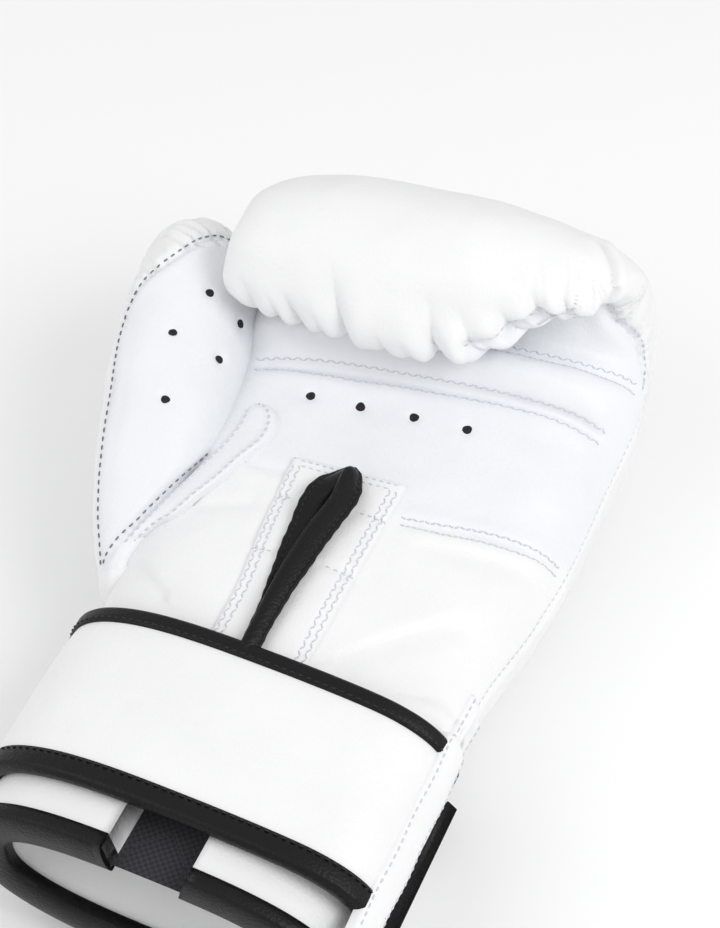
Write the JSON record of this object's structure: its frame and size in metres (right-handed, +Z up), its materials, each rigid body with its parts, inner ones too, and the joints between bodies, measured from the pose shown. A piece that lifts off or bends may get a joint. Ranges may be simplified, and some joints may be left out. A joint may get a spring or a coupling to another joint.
{
  "type": "boxing glove",
  "caption": "Left-hand padded boxing glove lying palm up, with a sewn thumb, grip bar, palm vents, hang loop and wrap-around hook-and-loop wrist strap.",
  "frame": {"origin": "on the flat of the back padding that the glove lies on", "axes": "+Y from the cuff to the knuckles, +X from the thumb's side to the little finger's side, +Z up out of the palm"},
  "size_m": [0.1787, 0.2736, 0.1217],
  "materials": {
    "outer_leather": "smooth semi-gloss white synthetic leather with a fine grain",
    "palm_leather": "softer matt white leather, faintly blue",
    "binding": "black folded binding tape with a stitch line",
    "foam": "closed-cell padding",
    "lining": "dark woven nylon lining",
    "hook_tape": "hook side of the wrist fastener",
    "loop_tape": "napped loop side of the wrist fastener"
  },
  "bodies": {
    "glove": {"back_cover": "outer_leather", "back_foam": "foam", "centre_strip": "palm_leather", "cuff_binding": "binding", "cuff_cover": "outer_leather", "cuff_foam": "foam", "cuff_gusset": "lining", "finger_panel": "palm_leather", "grip_bar": "foam", "grip_bar_cover": "palm_leather", "hand_lining": "lining", "knuckle_foam": "foam", "knuckle_inner_foam": "foam", "loop_field": "loop_tape", "palm_panel": "palm_leather", "roll_foam": "foam", "side_strip": "outer_leather", "strap_anchor_lower_binding": "binding", "strap_anchor_panel": "outer_leather", "strap_anchor_upper_binding": "binding", "web_gusset": "palm_leather", "wrist_panel_left": "outer_leather", "wrist_panel_right": "outer_leather"},
    "strap_palm": {"strap_palm_lower_binding": "binding", "strap_palm_panel": "outer_leather", "strap_palm_upper_binding": "binding"},
    "strap_side": {"strap_side_lower_binding": "binding", "strap_side_panel": "outer_leather", "strap_side_upper_binding": "binding"},
    "strap_back": {"strap_back_lower_binding": "binding", "strap_back_panel": "outer_leather", "strap_back_upper_binding": "binding", "strap_tip_binding": "binding", "hook_field": "hook_tape"},
    "thumb": {"thumb_cover": "outer_leather", "thumb_foam": "foam", "thumb_lining": "lining", "thumb_panel": "palm_leather"},
    "hang_loop": {"hang_loop": "binding"}
  },
  "joints": [
    {"name": "strap_palm_bend", "type": "hinge", "parent": "glove", "child": "strap_palm", "pos_m": [0.06853, -0.095, 0.05728], "axis": [0, 1, 0], "range_deg": [0, 27]},
    {"name": "strap_side_bend", "type": "hinge", "parent": "strap_palm", "child": "strap_side", "pos_m": [-0.05329, -0.095, 0.06142], "axis": [0, 1, 0], "range_deg": [0, 61]},
    {"name": "strap_back_bend", "type": "hinge", "parent": "strap_side", "child": "strap_back", "pos_m": [-0.05329, -0.095, 0.01338], "axis": [0, 1, 0], "range_deg": [0, 75]},
    {"name": "thumb_give", "type": "hinge", "parent": "glove", "child": "thumb", "pos_m": [-0.046, -0.038, 0.045], "axis": [0, 0, 1], "range_deg": [0, 8], "stiffness_Nm_per_rad": 1},
    {"name": "hang_loop_swing", "type": "hinge", "parent": "glove", "child": "hang_loop", "pos_m": [0.0025, -0.0608, 0.07495], "axis": [1, 0, 0], "range_deg": [0, 80]}
  ],
  "couplings": [
    {"joint": "strap_side_bend", "follows": "strap_back_bend", "ratio": 0.8},
    {"joint": "strap_palm_bend", "follows": "strap_back_bend", "ratio": 0.35}
  ]
}
